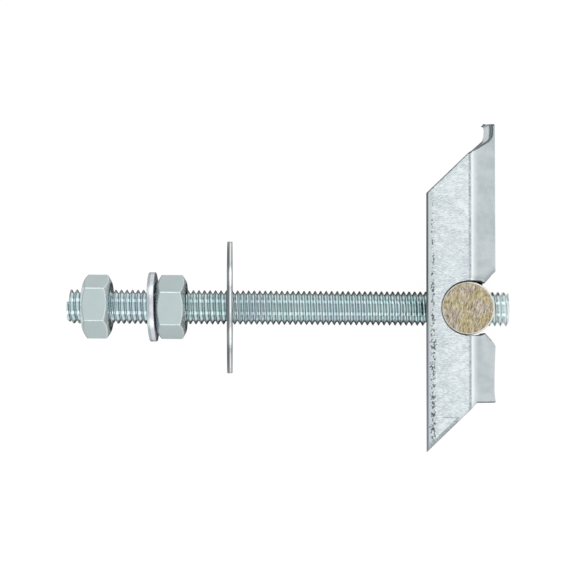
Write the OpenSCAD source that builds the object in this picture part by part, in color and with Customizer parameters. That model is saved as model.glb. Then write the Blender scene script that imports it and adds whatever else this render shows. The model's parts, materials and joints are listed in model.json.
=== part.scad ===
// Toggle bolt: a threaded rod through a barrel nut that carries a swivelling channel wing,
// with two hexagon nuts, a flat washer and a large penny washer on the rod.
//
// Every piece is drawn in the rod's own frame: X runs along the rod from its nut end, Y along the
// wing's long arm, Z along the barrel nut, with the rod's axis on Y = Z = 0. lying() then sets the
// whole bolt down as it comes to rest, on the rim of the penny washer and the bend of the wing's
// far wall, with the floor at Z = 0.

/* [Rod] */
// Outer diameter of the thread
rod_d = 7.8; // [7.7:0.02:8.1]
// Length of the rod
rod_len = 100; // [92:1:150]
// Distance between threads
thread_pitch = 1.25; // [0.8:0.05:1.6]
// Bevel at the wing end of the rod, which is sawn off nearly square
saw_bevel = 0.25; // [0.1:0.05:0.6]

/* [Nuts] */
// Width across the flats
nut_af = 12.75; // [12.7:0.05:14]
// Height of the inner nut
nut_h = 6.5; // [5:0.1:6.8]
// Height of the outer nut, which is at the low end of what the standard allows
outer_nut_h = 6.2; // [5:0.1:6.8]
// Rounding of the six corners
nut_corner_r = 0.4; // [0.1:0.1:3]
// Diameter of the flat ring left on each end face
nut_face_d = 11.4; // [10.6:0.1:12.4]
// Angle of the bevel on each end
nut_bevel_angle = 30; // [15:1:35]
// Depth of the countersink at each end of the bore
nut_sink = 0.5; // [0.2:0.1:0.8]
// Radial clearance between a nut's bore and the rod
thread_gap = 0.05; // [0.02:0.01:0.1]
// Rod left bare outside the outer nut
outer_nut_x = 3.9; // [3.6:0.1:5]
// Turn of the outer nut about the rod
outer_nut_turn = -2.8; // [-30:0.1:30]
// Rod left bare between the outer nut and the inner nut
nut_spacing = 10.5; // [9:0.1:11.5]
// Turn of the inner nut about the rod
inner_nut_turn = 5; // [-30:0.1:30]

/* [Washers] */
// Outer diameter of the flat washer
washer_d = 15.8; // [14.5:0.1:17]
// Thickness of the flat washer
washer_t = 1.5; // [1:0.1:2]
// Lean of the flat washer in the plane of the wing
washer_lean = 1.6; // [0:0.1:2.5]
// Outer diameter of the penny washer
penny_d = 30; // [26:0.5:34]
// Thickness of the penny washer
penny_t = 1.2; // [1:0.1:1.8]
// Lean of the penny washer, its near side towards the wing
penny_lean = 2.2; // [0:0.1:3]
// Rod left bare between the inner nut and the middle of the penny washer
penny_reach = 9.8; // [4:0.1:20]
// Radial clearance between a washer's hole and the rod
washer_gap = 0.22; // [0.15:0.01:0.5]
// Rounding of a washer's stamped rim
rim_bevel = 0.2; // [0.05:0.05:0.4]

/* [Barrel nut] */
// Diameter of the barrel nut
barrel_d = 11.85; // [11:0.1:12]
// Bevel at the ends of the barrel nut
barrel_bevel = 0.35; // [0.1:0.05:0.8]
// How far each end of the barrel nut lies below the wing's wall
barrel_inset = 0.75; // [0.7:0.05:1.2]
// Rod standing out past the barrel nut's axis
rod_overhang = 10.1; // [8:0.1:11]

/* [Wing section] */
// Thickness of the sheet
sheet_t = 1.4; // [1:0.1:1.6]
// Width over the two walls
wing_w = 14.4; // [14:0.1:17]
// Barrel axis to the open edge of the near wall
wall_reach = 9.3; // [8:0.1:11]
// How much shorter the far wall is
far_wall_short = 1.4; // [0:0.1:2]
// Barrel axis to the outer face of the web
web_reach = 6.3; // [6.2:0.1:7.2]
// Barrel axis to the start of the bend along each wall
bend_reach = 0.4; // [0:0.1:1]
// Outer radius of that bend
bend_r = 4; // [3:0.1:5]
// Slope of the wall between that bend and the web
bend_angle = 19; // [14:0.5:21]
// Outer radius of the corners of the web
corner_r = 1.8; // [1.7:0.1:2.4]
// Width of the rolled strip along the open edges
roll_w = 1.3; // [0.5:0.1:2]
// Fall of that strip at the edge
roll_drop = 0.25; // [0.05:0.05:0.4]

/* [Wing outline] */
// Angle of the two slanting cuts
cut_angle = 44; // [40:0.5:48]
// Barrel axis to the upper corner of the near wall's open edge
upper_reach = 25.6; // [20:0.1:30]
// Barrel axis to the start of the shoulder, along the rod
shoulder_x = 0; // [-1:0.1:0.8]
// Radius of the round cut in front of the lip, which the shoulder runs into
throat_r = 2.2; // [1.8:0.1:2.6]
// Start of the shoulder to that cut's centre, along the near wall
throat_reach = 4.9; // [4.2:0.1:5.2]
// Rise of that cut from the near wall to the far one
throat_skew = 1.5; // [0:0.1:1.6]
// Length of the lip above the start of the shoulder
lip_len = 6.5; // [5.8:0.1:7]
// Radius of the lip's hook on the near side
near_hook_r = 5; // [2.6:0.1:6]
// Radius of the lip's hook on the far side
far_hook_r = 2.9; // [2.6:0.1:6]
// Rise of the lip from its near side to its far side
lip_skew = 1.9; // [0.6:0.1:2.2]
// Barrel axis to the square lower end of the web
lower_reach = 20.9; // [16:0.1:26]
// Barrel axis to the corner where the lower slanting cut begins
lower_corner_x = 1.9; // [1:0.1:3]

/* [Wing openings] */
// Radial play of the barrel nut in the round seats of the walls
seat_play = 0.25; // [0.2:0.01:0.4]
// Width of the mouth that keeps the barrel nut in its seats
mouth_w = 11.2; // [10.8:0.1:11.6]
// Barrel axis to the mouth
mouth_reach = 4; // [3.6:0.1:4.4]
// Length of the window in the web
window_len = 16.8; // [15:0.1:18]
// Clearance round the rod's end where it swings through the web
swing_gap = 0.6; // [0.4:0.05:0.8]

/* [Hidden] */
eps = 0.01;
round_fn = 96;

// Rod and nuts
rod_r = rod_d / 2;
thread_depth = 0.6134 * thread_pitch;
inner_nut_x = outer_nut_x + outer_nut_h + nut_spacing;
nut_corner_reach = nut_af / 2 / cos(30);

// Washers: the flat washer leans against the inner nut's end face
seat_gap = 0.1;
washer_x = inner_nut_x - seat_gap - washer_t / 2 - nut_face_d / 2 * sin(washer_lean);
penny_x = inner_nut_x + nut_h + penny_reach;

// Barrel nut and wing
barrel_x = rod_len - rod_overhang;
barrel_len = wing_w - 2 * barrel_inset;
wall_z = wing_w / 2;
seat_r = barrel_d / 2 + seat_play;

// Resting slope: the floor touches the lowest point of the penny washer's rim and is tangent to
// the bend along the wing's far wall
rim_edge = penny_t / 2 - rim_bevel;
rim = [
    penny_x - penny_d / 2 * sin(penny_lean) + rim_edge * cos(penny_lean),
    -penny_d / 2 * cos(penny_lean) - rim_edge * sin(penny_lean)
];
rim_to_bend = [barrel_x + bend_reach - rim[0], bend_r - wall_z - rim[1]];
rest_slope = atan2(rim_to_bend[1], rim_to_bend[0]) - asin(bend_r / norm(rim_to_bend));
rest_lift = rim[0] * sin(rest_slope) - rim[1] * cos(rest_slope);

// Middle of the resting bolt, halfway between the lower edge of the rod's nut end and the upper
// edge of its wing end
end_r = rod_r - thread_depth;
saw_r = rod_r - saw_bevel;
rest_middle = (rod_len * cos(rest_slope) + (saw_r - end_r) * sin(rest_slope)) / 2;

// Ends of the wing, and the half width of its lip
shoulder_y = upper_reach + (wall_reach + shoulder_x) * tan(cut_angle);
lip_y = shoulder_y + lip_len;
tip_y = -lower_reach - (wall_reach + lower_corner_x) * tan(cut_angle);
lip_x = web_reach - sheet_t;
lip_z = wall_z - bend_r + (bend_r - (lip_x - 1 - bend_reach) * sin(bend_angle)) / cos(bend_angle);

// Points on a circle, from one angle to another
function arc(centre, r, from, to, steps) =
    [for (i = [0:steps]) let (a = from + (to - from) * i / steps) centre + r * [cos(a), sin(a)]];
// The same path on the other side of the first axis
function mirrored(path) = [for (p = path) [p[0], -p[1]]];
function reversed(path) = [for (i = [len(path) - 1:-1:0]) path[i]];

// Sets the bolt down on the floor, centred over the origin
module lying() {
    translate([-rest_middle, -(lip_y + lip_skew + tip_y) / 2, rest_lift])
        rotate([0, rest_slope, 0])
            children();
}

// Turns a shape built along Z onto the rod's axis, starting at x
module along_rod(x) {
    translate([x, 0, 0]) rotate([0, 90, 0]) children();
}

module threaded_rod() {
    color("#bccbd3") lying() along_rod(0) rotate_extrude($fn = round_fn)
        polygon([
            [0, 0],
            [end_r, 0],
            [rod_r, thread_depth],
            [rod_r, rod_len - saw_bevel],
            [saw_r, rod_len],
            [0, rod_len]
        ]);
}

// Six flats joined by rounded corners
module hexagon() {
    corner = (nut_af / 2 - nut_corner_r) / cos(30);
    polygon([
        for (side = [0:5])
            each arc(corner * [cos(30 + 60 * side), sin(30 + 60 * side)],
                     nut_corner_r, 60 * side, 60 * (side + 1), 5)
    ]);
}

// A nut standing on one end, bevelled and countersunk at both
module hex_nut(h) {
    fall = (nut_corner_reach - nut_face_d / 2) * tan(nut_bevel_angle);
    bore_r = rod_r + thread_gap;
    difference() {
        intersection() {
            linear_extrude(h) hexagon();
            rotate_extrude($fn = round_fn)
                polygon([
                    [0, 0],
                    [nut_face_d / 2, 0],
                    [nut_corner_reach, fall],
                    [nut_corner_reach, h - fall],
                    [nut_face_d / 2, h],
                    [0, h]
                ]);
        }
        translate([0, 0, -eps]) cylinder(h = h + 2 * eps, r = bore_r, $fn = round_fn);
        for (end = [0, 1])
            translate([0, 0, end * h]) mirror([0, 0, end])
                translate([0, 0, -eps])
                    cylinder(h = nut_sink + eps, r1 = bore_r + nut_sink + eps, r2 = bore_r,
                             $fn = round_fn);
    }
}

module outer_nut() {
    color("#b9c6cd") lying() rotate([outer_nut_turn, 0, 0]) along_rod(outer_nut_x)
        hex_nut(outer_nut_h);
}

module inner_nut() {
    color("#b9c6cd") lying() rotate([inner_nut_turn, 0, 0]) along_rod(inner_nut_x)
        hex_nut(nut_h);
}

// A stamped washer, centred, with a bevelled rim
module washer(d, t) {
    difference() {
        rotate_extrude($fn = round_fn)
            polygon([
                [0, -t / 2],
                [d / 2 - rim_bevel, -t / 2],
                [d / 2, rim_bevel - t / 2],
                [d / 2, t / 2 - rim_bevel],
                [d / 2 - rim_bevel, t / 2],
                [0, t / 2]
            ]);
        cylinder(h = t + 2 * eps, r = rod_r + washer_gap, center = true, $fn = round_fn);
    }
}

module flat_washer() {
    color("#ccccdc") lying() translate([washer_x, 0, 0]) rotate([0, 0, washer_lean])
        along_rod(0) washer(washer_d, washer_t);
}

module penny_washer() {
    color("#c3c8cb") lying() translate([penny_x, 0, 0]) rotate([0, penny_lean, 0])
        along_rod(0) washer(penny_d, penny_t);
}

// A plain barrel across the rod, bored through its middle
module barrel_nut() {
    color("#b7a267") lying() translate([barrel_x, 0, 0]) difference() {
        rotate_extrude($fn = round_fn)
            polygon([
                [0, -barrel_len / 2],
                [barrel_d / 2 - barrel_bevel, -barrel_len / 2],
                [barrel_d / 2, barrel_bevel - barrel_len / 2],
                [barrel_d / 2, barrel_len / 2 - barrel_bevel],
                [barrel_d / 2 - barrel_bevel, barrel_len / 2],
                [0, barrel_len / 2]
            ]);
        along_rod(-barrel_d / 2 - eps)
            cylinder(h = barrel_d + 2 * eps, r = rod_r + thread_gap, $fn = round_fn);
    }
}

// Section of the channel: a wall, its bend and slope, the corner of the web, and the same again
// on the far side. The first axis runs along the rod, the second across the walls.
module channel_section() {
    bend = [bend_reach, wall_z - bend_r];
    // The corner's centre lies corner_r inside both the web's face and the sloping wall
    corner_x = web_reach - corner_r;
    corner = [
        corner_x,
        bend[1] + (bend_r - corner_r - (corner_x - bend[0]) * sin(bend_angle)) / cos(bend_angle)
    ];
    outer = concat(
        [[-wall_reach, wall_z - roll_drop], [roll_w - wall_reach, wall_z]],
        arc(bend, bend_r, 90, 90 - bend_angle, 4),
        arc(corner, corner_r, 90 - bend_angle, 0, 7)
    );
    inner = concat(
        [[-wall_reach, wall_z - sheet_t]],
        arc(bend, bend_r - sheet_t, 90, 90 - bend_angle, 4),
        arc(corner, corner_r - sheet_t, 90 - bend_angle, 0, 7)
    );
    polygon(concat(outer, reversed(mirrored(outer)), mirrored(inner), reversed(inner)));
}

// Side outline of one wall: its two slanting cuts, the shoulder, the round throat that it is
// tangent to, and the lip with its hook, which runs past its slanting top cut. throat_rise and
// lip_rise lift the throat and the lip.
module side_outline(throat_rise, lip_rise, hook_r) {
    throat = [lip_x - throat_r, shoulder_y + throat_reach + throat_rise];
    to_throat = throat - [shoulder_x, shoulder_y];
    shoulder_angle = atan2(to_throat[1], to_throat[0]) - asin(throat_r / norm(to_throat));
    hook = [lip_x - hook_r, throat[1]];
    hook_rise = min(hook_r, lip_y + lip_rise - hook[1]);
    past = web_reach + 1;
    polygon(concat(
        [[-wall_reach - eps, tip_y - eps * tan(cut_angle)], [lower_corner_x, -lower_reach]],
        [[past, -lower_reach], [past, lip_y + lip_skew + 1]],
        [[hook[0] + sqrt(pow(hook_r, 2) - pow(hook_rise, 2)), lip_y + lip_skew + 1]],
        arc(hook, hook_r, asin(hook_rise / hook_r), 0, 5),
        arc(throat, throat_r, -8, shoulder_angle - 90, 6),
        [[shoulder_x, shoulder_y], [-wall_reach - eps, upper_reach - eps * tan(cut_angle)]]
    ));
}

// Round seat for the barrel nut, its mouth and the window through the web, as cut by one prism
module seat_outline() {
    past = 1;
    flare = (window_len - mouth_w) / 2 / (web_reach - mouth_reach);
    window = window_len / 2 + past * flare;
    circle(r = seat_r, $fn = round_fn);
    polygon([
        [0, -seat_r],
        [mouth_reach, -mouth_w / 2],
        [web_reach + past, -window],
        [web_reach + past, window],
        [mouth_reach, mouth_w / 2],
        [0, seat_r]
    ]);
}

// Slot in the web for the rod's end, on the side of the long arm
module swing_slot() {
    slot_r = rod_r + swing_gap;
    reach = norm([rod_overhang, rod_r]) + swing_gap;
    depth = web_reach - bend_reach + 1;
    translate([bend_reach, 0, 0]) {
        translate([0, reach - slot_r, 0]) along_rod(0) cylinder(h = depth, r = slot_r, $fn = round_fn);
        translate([0, 0, -slot_r]) cube([depth, reach - slot_r, 2 * slot_r]);
    }
}

module channel_wing() {
    top = lip_y + lip_skew + 1;
    skew = atan2(lip_skew, 2 * lip_z);
    color("#c9d3d6") lying() translate([barrel_x, 0, 0]) difference() {
        intersection() {
            translate([0, top, 0]) rotate([90, 0, 0]) linear_extrude(top - tip_y) channel_section();
            union() {
                linear_extrude(wall_z + eps) side_outline(0, 0, near_hook_r);
                translate([0, 0, -wall_z - eps]) linear_extrude(wall_z + eps)
                    side_outline(throat_skew, lip_skew, far_hook_r);
            }
        }
        // Slanting top of the lip, highest on the far side
        translate([-web_reach, lip_y, lip_z]) rotate([skew, 0, 0]) translate([0, 0, -2 * wing_w])
            cube([3 * web_reach, wing_w, 3 * wing_w]);
        // Shorter far wall
        translate([-wall_reach - 1, tip_y - 1, -wall_z - 1])
            cube([far_wall_short + 1, top - tip_y + 2, wall_z + 1]);
        // Seats and window
        translate([0, 0, -wall_z - 1]) linear_extrude(wing_w + 2) seat_outline();
        swing_slot();
    }
}

threaded_rod();
outer_nut();
flat_washer();
inner_nut();
penny_washer();
barrel_nut();
channel_wing();
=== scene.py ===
"""Toggle bolt: a threaded rod with two hexagon nuts, a flat washer and a penny washer, screwed
through a barrel nut that carries a folded channel wing.

Every piece is built in millimetres in its own axes and set down through the bolt's own frame:
X runs along the rod from its nut end, Y along the wing's long arm, Z along the barrel nut.
"""

import json
import logging
import math
from contextlib import contextmanager
from dataclasses import dataclass
from enum import Enum
from functools import partial
from typing import Any, Callable, Iterator, Sequence

import bmesh
import bpy
import numpy as np
from mathutils import Matrix, Vector
from mathutils.geometry import delaunay_2d_cdt


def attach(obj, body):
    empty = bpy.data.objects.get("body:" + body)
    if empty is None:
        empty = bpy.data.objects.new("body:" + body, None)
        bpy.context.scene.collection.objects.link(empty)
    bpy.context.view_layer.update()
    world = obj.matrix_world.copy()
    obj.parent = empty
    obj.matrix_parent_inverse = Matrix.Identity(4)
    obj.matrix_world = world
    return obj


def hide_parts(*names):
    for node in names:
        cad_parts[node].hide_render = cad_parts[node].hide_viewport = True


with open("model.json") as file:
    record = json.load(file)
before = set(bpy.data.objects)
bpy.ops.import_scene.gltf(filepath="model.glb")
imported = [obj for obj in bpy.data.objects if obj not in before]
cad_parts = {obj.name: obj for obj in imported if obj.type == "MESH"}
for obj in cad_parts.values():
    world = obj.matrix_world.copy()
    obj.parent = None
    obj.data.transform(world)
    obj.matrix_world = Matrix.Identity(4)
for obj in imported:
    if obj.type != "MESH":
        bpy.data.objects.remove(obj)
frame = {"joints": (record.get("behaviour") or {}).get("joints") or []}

LOG = logging.getLogger("toggle_bolt")
MM = 0.001
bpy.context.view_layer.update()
Points = np.ndarray
Path = list[tuple[float, float]]
Socket = bpy.types.NodeSocket
Adder = Callable[..., Socket]


# ---------------------------------------------------------------- frame of the bolt


def joint(name: str) -> dict[str, Any]:
    """Returns the record's joint of that name."""
    return next(one for one in frame["joints"] if one["name"] == name)


@dataclass(frozen=True)
class BoltFrame:
    """The bolt's own axes, taken from its hinge and slides."""

    barrel_x: float = 89.9

    def matrix(self) -> Matrix:
        """Returns the rigid placement of the bolt's axes, with its origin at the nut end."""
        along = Vector(joint("barrel_slide")["axis"]).normalized()
        near = Vector(joint("wing_hinge")["axis"]).normalized()
        placed = Matrix((along, near.cross(along), near)).transposed().to_4x4()
        placed.translation = Vector(joint("wing_hinge")["pos_m"]) - along * self.barrel_x * MM
        return placed

    def at(self, x: float, turn: Matrix = Matrix()) -> Matrix:
        """Returns the placement of a piece that lies x along the rod and is turned there."""
        return self.matrix() @ Matrix.Translation((x * MM, 0, 0)) @ turn


class Axis(Enum):
    """An axis of the bolt or of a piece on it."""

    X = "X"
    Y = "Y"
    Z = "Z"


def turned(degrees: float, axis: Axis) -> Matrix:
    """Returns a rotation matrix about an axis."""
    return Matrix.Rotation(math.radians(degrees), 4, axis.value)


# ---------------------------------------------------------------- meshes


def arc(centre: tuple[float, float], radius: float, start: float, end: float,
        steps: int) -> Path:
    """Returns points on a circle, from one angle to another in degrees."""
    angles = np.radians(np.linspace(start, end, steps + 1))
    return [(centre[0] + radius * math.cos(a), centre[1] + radius * math.sin(a)) for a in angles]


def straight(start: tuple[float, float], end: tuple[float, float], steps: int) -> Path:
    """Returns points along a straight line, both ends included."""
    return [(start[0] + (end[0] - start[0]) * t, start[1] + (end[1] - start[1]) * t)
            for t in np.linspace(0, 1, steps + 1)]


def rounded(corners: Sequence[tuple[float, float, float]], steps: int = 3,
            most: float = 0.49) -> Path:
    """Rounds the inner corners of an open path.

    Args:
        corners: first coordinate, second coordinate and rounding length of each corner.
        steps: number of steps across each rounding.
        most: the part of a side that a rounding may take up.
    Returns:
        The path's points; a corner with no rounding gives one point.
    """
    path = []
    for i, (a, b, cut) in enumerate(corners):
        here = np.array((a, b))
        if not cut or i in (0, len(corners) - 1):
            path.append(tuple(here))
            continue
        ends = []
        for beside in (corners[i - 1], corners[i + 1]):
            away = np.array(beside[:2]) - here
            length = np.linalg.norm(away)
            ends.append(here + away / length * min(cut, length * most))
        for t in np.linspace(0, 1, steps + 1):
            path.append(tuple((1 - t) ** 2 * ends[0] + 2 * t * (1 - t) * here + t**2 * ends[1]))
    return path


def closeness(gap: Points, width: float) -> Points:
    """Returns 1 at no gap, falling to 0 where the gap is as wide as width."""
    return np.clip(1 - gap / width, 0, 1)


def quads(rows: int, columns: int) -> list[tuple[int, ...]]:
    """Joins a grid of points that closes on itself both ways.

    Args:
        rows: number of rows.
        columns: number of points in a row.
    Returns:
        The faces.
    """
    faces = []
    for r in range(rows):
        for c in range(columns):
            up, on = (r + 1) % rows * columns, (c + 1) % columns
            faces.append((r * columns + c, r * columns + on, up + on, up + c))
    return faces


@contextmanager
def editing(mesh: bpy.types.Mesh) -> Iterator[bmesh.types.BMesh]:
    """Opens a mesh for editing and writes it back at the end.

    Args:
        mesh: the mesh.
    Returns:
        The open mesh.
    """
    edit = bmesh.new()
    edit.from_mesh(mesh)
    yield edit
    edit.to_mesh(mesh)
    edit.free()


def put(name: str, data: bpy.types.ID, placed: Matrix) -> bpy.types.Object:
    """Adds an object to the scene.

    Args:
        name: the object's name.
        data: its mesh, lamp or camera.
        placed: its rigid placement.
    Returns:
        The object.
    """
    made = bpy.data.objects.new(name, data)
    bpy.context.scene.collection.objects.link(made)
    made.matrix_world = placed
    return made


def shade(mesh: bpy.types.Mesh, sharp: float) -> None:
    """Shades a mesh smooth but for the edges that turn by more degrees than sharp."""
    mesh.shade_smooth()
    mesh.set_sharp_from_angle(angle=math.radians(sharp))


def mesh_object(name: str, points: Points, faces: Sequence, placed: Matrix,
                sharp: float = 40.0) -> bpy.types.Object:
    """Makes a shaded object with its faces turned outwards.

    Args:
        name: the object's name.
        points: its points in millimetres, one row each.
        faces: its faces, as lists of point numbers.
        placed: the object's rigid placement.
        sharp: edges that turn by more degrees than this stay sharp.
    Returns:
        The object.
    """
    mesh = bpy.data.meshes.new(name)
    mesh.from_pydata((np.asarray(points) * MM).tolist(), [], faces)
    with editing(mesh) as edit:
        bmesh.ops.recalc_face_normals(edit, faces=edit.faces)
    shade(mesh, sharp)
    return put(name, mesh, placed)


def lathe(name: str, profile: Path, placed: Matrix, steps: int = 128,
          axis: Axis = Axis.X, sharp: float = 40.0) -> bpy.types.Object:
    """Turns a closed profile about an axis.

    Args:
        name: the object's name.
        profile: place along the axis and radius of each point.
        placed: the object's placement.
        steps: steps round the axis.
        axis: the axis of the turning, X or Z.
        sharp: edges that turn by more degrees than this stay sharp.
    Returns:
        The turned object.
    """
    ring = np.linspace(0, 2 * math.pi, steps, endpoint=False)
    place, radius = [np.array(column)[:, None] for column in zip(*profile)]
    first, second = radius * np.cos(ring), radius * np.sin(ring)
    place = place * np.ones(steps)
    order = (place, first, second) if axis is Axis.X else (first, second, place)
    points = np.stack(order, axis=-1).reshape(-1, 3)
    return mesh_object(name, points, quads(len(profile), steps), placed, sharp)


def carve(piece: bpy.types.Object, cutter: bpy.types.Object) -> None:
    """Takes the cutter's shape out of a piece and removes the cutter.

    Args:
        piece: the piece that is cut.
        cutter: a closed shape.
    """
    change = piece.modifiers.new("cut", "BOOLEAN")
    change.object, change.operation, change.solver = cutter, "DIFFERENCE", "EXACT"
    bpy.context.view_layer.update()
    whole = piece.evaluated_get(bpy.context.evaluated_depsgraph_get())
    fresh = bpy.data.meshes.new_from_object(whole)
    fresh.materials.clear()
    piece.modifiers.remove(change)
    piece.data = fresh
    bpy.data.objects.remove(cutter)


def weld(piece: bpy.types.Object) -> None:
    """Joins the points of a piece that lie at the same place."""
    with editing(piece.data) as edit:
        bmesh.ops.remove_doubles(edit, verts=edit.verts, dist=1e-7)


def note(piece: bpy.types.Object, name: str, values: Points) -> None:
    """Stores a number at each point of a piece, which its finish reads by name."""
    kept = piece.data.attributes.new(name, "FLOAT", "POINT")
    kept.data.foreach_set("value", np.asarray(values, dtype=np.float32).ravel())


# ---------------------------------------------------------------- finishes


def linear(code: str) -> tuple[float, ...]:
    """Turns an sRGB hex colour into the linear colour that a socket takes.

    Args:
        code: the colour's six digits.
    Returns:
        Red, green, blue and alpha.
    """
    channels = [int(code[i:i + 2], 16) / 255 for i in (0, 2, 4)]
    curve = [c / 12.92 if c <= 0.04045 else ((c + 0.055) / 1.055) ** 2.4 for c in channels]
    return (*curve, 1.0)


def feed(tree: bpy.types.NodeTree, made: bpy.types.Node, sockets: dict | Sequence) -> None:
    """Sets or links the sockets of a node.

    Args:
        tree: the node's tree.
        made: the node.
        sockets: value or linked output of each socket, by name or in the sockets' order.
    """
    for key, value in (sockets.items() if isinstance(sockets, dict) else enumerate(sockets)):
        if isinstance(value, Socket):
            tree.links.new(value, made.inputs[key])
        else:
            made.inputs[key].default_value = value


def node(tree: bpy.types.NodeTree, kind: str, sockets: dict | Sequence = (),
         output: str | int = 0, **settings: Any) -> Socket:
    """Adds a node to a tree.

    Args:
        tree: the node tree.
        kind: the node's type, as its name goes on after ShaderNode.
        sockets: value or linked output of its sockets, by name or in their order.
        output: which of its outputs is wanted.
        settings: its properties.
    Returns:
        That output.
    """
    made = tree.nodes.new("ShaderNode" + kind)
    for key, value in settings.items():
        setattr(made, key, value)
    feed(tree, made, sockets)
    return made.outputs[output]


def overlap(add: Adder, *masks: Any) -> Socket:
    """Returns the product of masks.

    Args:
        add: adds a node to the finish.
        masks: each an output, or an output with the start and end of a range in it and, where
            they aren't 0 and 1, what the mask is at each.
    Returns:
        A mask that is full only where each of them is.
    """
    whole, *others = [add("MapRange", one) if isinstance(one, tuple) else one for one in masks]
    for mask in others:
        whole = add("Math", (whole, mask), operation="MULTIPLY")
    return whole


def layered(add: Adder, base: str, *layers: tuple) -> Socket:
    """Lays colours over one another.

    Args:
        add: adds a node to the finish.
        base: the lowest colour.
        layers: the others from the lowest up, each with the masks in whose overlap it lies.
    Returns:
        The colour that shows.
    """
    colour = linear(base)
    for code, *masks in layers:
        colour = add("Mix", {"Factor": overlap(add, *masks), "A": colour, "B": linear(code)},
                     "Result", data_type="RGBA")
    return colour


def off(add: Adder, value: Socket, centre: float) -> Socket:
    """Returns how far a value is from a centre."""
    away = add("Math", (value, centre), operation="SUBTRACT")
    return add("Math", (away,), operation="ABSOLUTE")


def grain(add: Adder, mm: Socket, stretch: tuple[float, float, float], detail: float) -> Socket:
    """Returns noise with that many grains to the millimetre each way."""
    place = add("VectorMath", (mm, stretch), operation="MULTIPLY")
    return add("TexNoise", {"Vector": place, "Scale": 1.0, "Detail": detail, "Roughness": 0.6})


@dataclass(frozen=True)
class Finish:
    """A surface that nodes draw in the piece's own millimetres."""

    name: str

    def material(self) -> bpy.types.Material:
        """Builds the finish's material."""
        made = bpy.data.materials.new(self.name)
        made.use_nodes = True
        tree = made.node_tree
        add = partial(node, tree)
        place = add("TexCoord", (), "Object")
        mm = add("VectorMath", {"Vector": place, "Scale": 1 / MM}, operation="SCALE")
        feed(tree, tree.nodes["Principled BSDF"], self.surface(add, mm))
        return made

    def surface(self, add: Adder, mm: Socket) -> dict[str, Any]:
        """Draws the finish.

        Args:
            add: adds a node to it.
            mm: the place on the piece in millimetres.
        Returns:
            What each socket of the shader gets.
        """
        raise NotImplementedError

    @staticmethod
    def bumped(add: Adder, height: Socket, strength: float) -> dict[str, Any]:
        """Returns the shader's normal over marks a tenth of a millimetre deep."""
        bump = add("Bump", {"Height": height, "Strength": strength, "Distance": 0.1 * MM})
        return {"Normal": bump}


class Slot(Enum):
    """The record's material slots."""

    ROD = "rod_zinc"
    NUT = "nut_zinc"
    WASHER = "washer_zinc"
    BARREL = "barrel_passivated"
    WING = "wing_galvanised"


def dress(piece: bpy.types.Object, slot: Slot, body: str, stands_for: str,
          *finishes: Finish) -> None:
    """Gives a piece its finishes and its body.

    Args:
        piece: the piece.
        slot: its material slot in the record; not used.
        body: the body that it moves with.
        stands_for: the node that it hides.
        finishes: its finishes, in the order of its faces' numbers for them.
    """
    for finish in finishes:
        piece.data.materials.append(finish.material())
    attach(piece, body)
    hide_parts(stands_for)
    LOG.info("%s: %d faces, on %s", piece.name, len(piece.data.polygons), body)


@dataclass(frozen=True)
class ZincPlate(Finish):
    """Bright zinc plate over steel: a thin even metal skin whose passivation leaves a faint
    blue-green to lilac tint in clouds, with fine tool marks from the steel below."""

    colour: str
    cloud: str
    tint: str
    roughness: float = 0.3
    cloud_mm: float = 3.0
    mark_mm: float = 0.25
    mark_stretch: tuple[float, float, float] = (1.0, 1.0, 1.0)
    mark_depth: float = 0.1
    # colours of the painted highlight and painted shade that a piece notes at its points; partly
    # they also stand for plate that rubbing brightened and plate gone dim
    rub_and_highlight: str = "F4F8FA"
    dull_and_shade: str = "B4C4C6"

    def surface(self, add: Adder, mm: Socket) -> dict[str, Any]:
        """Draws the tints in their clouds, then the painted highlight and painted shade that the
        piece notes at its points, partly plate that rubbing brightened and plate gone dim, as
        Finish asks."""
        clouds = add("TexNoise", {"Vector": mm, "Scale": 1 / self.cloud_mm, "Detail": 3.0})
        drift = add("TexNoise", {"Vector": mm, "Scale": 0.6 / self.cloud_mm, "Detail": 2.0})
        stretched = add("VectorMath", (mm, self.mark_stretch), operation="MULTIPLY")
        marks = add("TexNoise", {"Vector": stretched, "Scale": 1 / self.mark_mm, "Detail": 4.0})
        rub_and_highlight, dull_and_shade = [add("Attribute", (), "Fac", attribute_name=name)
                        for name in ("rub_and_highlight", "dull_and_shade")]
        colour = layered(add, self.colour, (self.cloud, (clouds, 0.35, 0.65)),
                         (self.tint, (drift, 0.45, 0.7, 0, 0.7)),
                         (self.rub_and_highlight, rub_and_highlight, (clouds, 0.35, 0.5)), (self.dull_and_shade, dull_and_shade))
        rough = add("MapRange", (marks, 0, 1, self.roughness - 0.06, self.roughness + 0.1))
        return {"Base Color": colour, "Metallic": 1.0, "Roughness": rough,
                **self.bumped(add, marks, self.mark_depth)}


# ---------------------------------------------------------------- rod


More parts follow.
